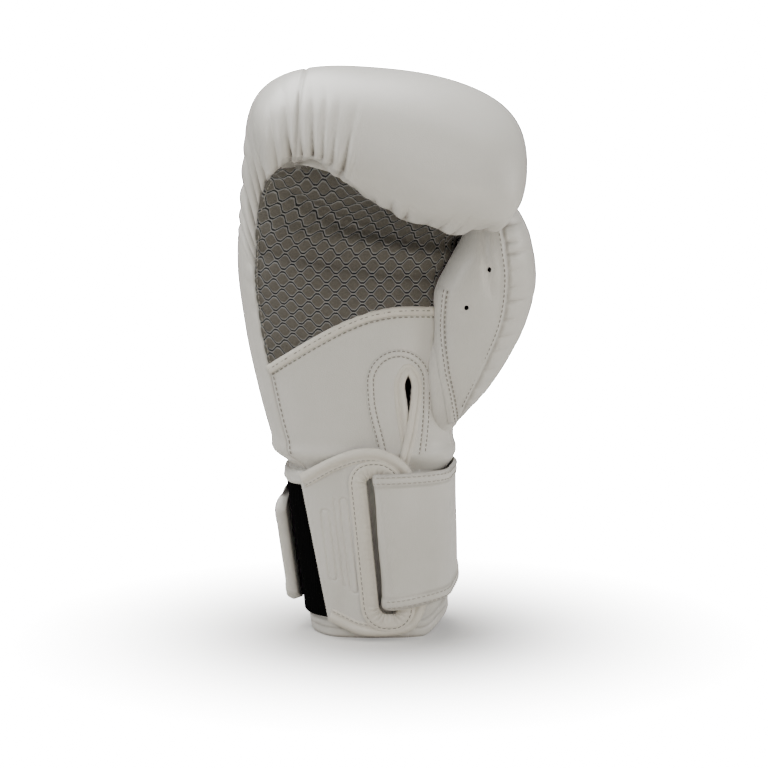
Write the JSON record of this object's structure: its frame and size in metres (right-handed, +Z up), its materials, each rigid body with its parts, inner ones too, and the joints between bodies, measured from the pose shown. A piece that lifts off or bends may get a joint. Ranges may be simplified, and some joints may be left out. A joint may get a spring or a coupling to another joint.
{
  "type": "boxing glove",
  "caption": "Padded leather boxing glove for the right hand, with a mesh palm, a wrist flap and a strap that folds back through its slot.",
  "frame": {"origin": "on the floor below the middle of the standing glove's bounding box", "axes": "+Z up along the hand, -Y out of the palm, +X towards the thumb"},
  "size_m": [0.1556, 0.1456, 0.2951],
  "materials": {
    "leather": "warm white, soft satin, smooth with a fine grain",
    "binding": "cream white, satin, stitched",
    "mesh": "grey honeycomb print with raised cells",
    "elastic": "black ribbed elastic, matt"
  },
  "bodies": {
    "root": {"fist_shell": "leather", "palm_mesh": "mesh", "palm_piping": "binding", "palm_panel": "leather", "slit_guard": "leather", "slit_binding": "binding", "thumb_pad": "leather", "thumb_panel": "leather", "cuff_hem": "binding", "cuff_wall": "leather", "wrist_flap": "leather", "flap_binding": "binding", "slot_binding": "binding", "side_elastic": "elastic", "strap": "leather"}
  },
  "joints": []
}
